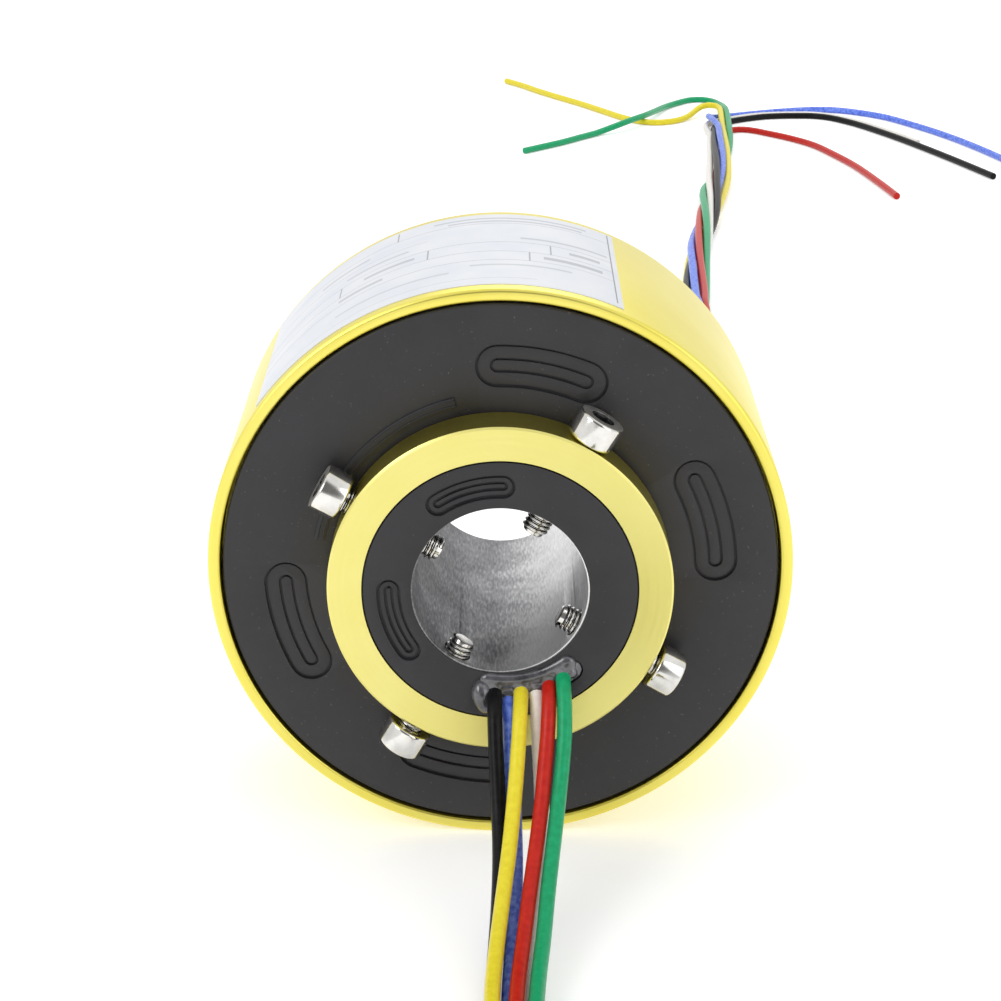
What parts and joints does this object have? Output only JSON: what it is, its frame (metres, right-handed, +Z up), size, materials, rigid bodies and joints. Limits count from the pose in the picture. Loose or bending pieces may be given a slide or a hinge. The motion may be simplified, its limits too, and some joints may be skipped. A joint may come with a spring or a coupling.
{
  "type": "through-bore slip ring",
  "caption": "Through-bore slip ring: a rotor with a clamp collar turns on ball bearings inside a round stator, passing six circuits from its front leads to its rear leads.",
  "frame": {"origin": "centre of the stator's rear face, on the axis of rotation, in the plane of the mounting inserts", "axes": "+Y along the axis of rotation towards the rear, so the clamp collar is at -Y; +Z up towards the label; +X to the right seen from the front"},
  "size_m": [0.22, 0.7267, 0.0861],
  "materials": {
    "housing": "gold anodised, satin",
    "clamp_collar": "gold anodised, satin",
    "label": "printed film",
    "cover": "moulded, matt",
    "rotor_core": "moulded, matt",
    "tie_screws": "zinc plated",
    "clamp_screws": "polished stainless",
    "mounting_inserts": "turned",
    "race": "ground",
    "ball": "polished",
    "cage": "machined",
    "brush_block": "glass-filled moulding",
    "brush_wire": "precious-metal alloy",
    "lead_grommet": "moulded",
    "bore_tube": "brushed",
    "retaining_ring": "blackened spring steel",
    "contact_ring": "gold plated",
    "insulator": "moulded",
    "rotor_potting": "epoxy",
    "lead_group": "insulated wire, six colours in the render",
    "lead_black": "PVC or PTFE insulation",
    "lead_blue": "PVC or PTFE insulation",
    "lead_red": "PVC or PTFE insulation",
    "lead_green": "PVC or PTFE insulation",
    "lead_yellow": "PVC or PTFE insulation",
    "lead_white": "PVC or PTFE insulation"
  },
  "bodies": {
    "stator": {"housing": "housing", "label": "label", "front_cover": "cover", "rear_cover": "cover", "tie_screws": "tie_screws", "mounting_inserts": "mounting_inserts", "front_outer_race": "race", "rear_outer_race": "race", "top_brush_block": "brush_block", "bottom_brush_block": "brush_block", "top_brush_wires": "brush_wire", "bottom_brush_wires": "brush_wire", "lead_grommet": "lead_grommet", "stator_bundle": "lead_group", "stator_lead_black": "lead_black", "stator_lead_blue": "lead_blue", "stator_lead_red": "lead_red", "stator_lead_green": "lead_green", "stator_lead_yellow": "lead_yellow", "stator_lead_white": "lead_white"},
    "rotor": {"bore_tube": "bore_tube", "rotor_core": "rotor_core", "clamp_collar": "clamp_collar", "clamp_screws": "clamp_screws", "retaining_ring": "retaining_ring", "front_inner_race": "race", "rear_inner_race": "race", "contact_ring_1": "contact_ring", "contact_ring_2": "contact_ring", "contact_ring_3": "contact_ring", "contact_ring_4": "contact_ring", "contact_ring_5": "contact_ring", "contact_ring_6": "contact_ring", "insulator_1": "insulator", "insulator_2": "insulator", "insulator_3": "insulator", "insulator_4": "insulator", "insulator_5": "insulator", "insulator_6": "insulator", "insulator_7": "insulator", "rotor_potting": "rotor_potting", "rotor_lead_black": "lead_black", "rotor_lead_blue": "lead_blue", "rotor_lead_yellow": "lead_yellow", "rotor_lead_white": "lead_white", "rotor_lead_red": "lead_red", "rotor_lead_green": "lead_green", "rotor_lead_coil": "lead_group"},
    "front_balls": {"front_balls": "ball", "front_cage": "cage"},
    "rear_balls": {"rear_balls": "ball", "rear_cage": "cage"}
  },
  "joints": [
    {"name": "rotor_spin", "type": "hinge", "parent": "stator", "child": "rotor", "pos_m": [0, 0, 0], "axis": [0, 1, 0], "continuous": true},
    {"name": "front_balls_spin", "type": "hinge", "parent": "stator", "child": "front_balls", "pos_m": [0, 0, 0], "axis": [0, 1, 0], "continuous": true},
    {"name": "rear_balls_spin", "type": "hinge", "parent": "stator", "child": "rear_balls", "pos_m": [0, 0, 0], "axis": [0, 1, 0], "continuous": true}
  ],
  "couplings": [
    {"joint": "front_balls_spin", "follows": "rotor_spin", "ratio": 0.462},
    {"joint": "rear_balls_spin", "follows": "rotor_spin", "ratio": 0.462}
  ]
}
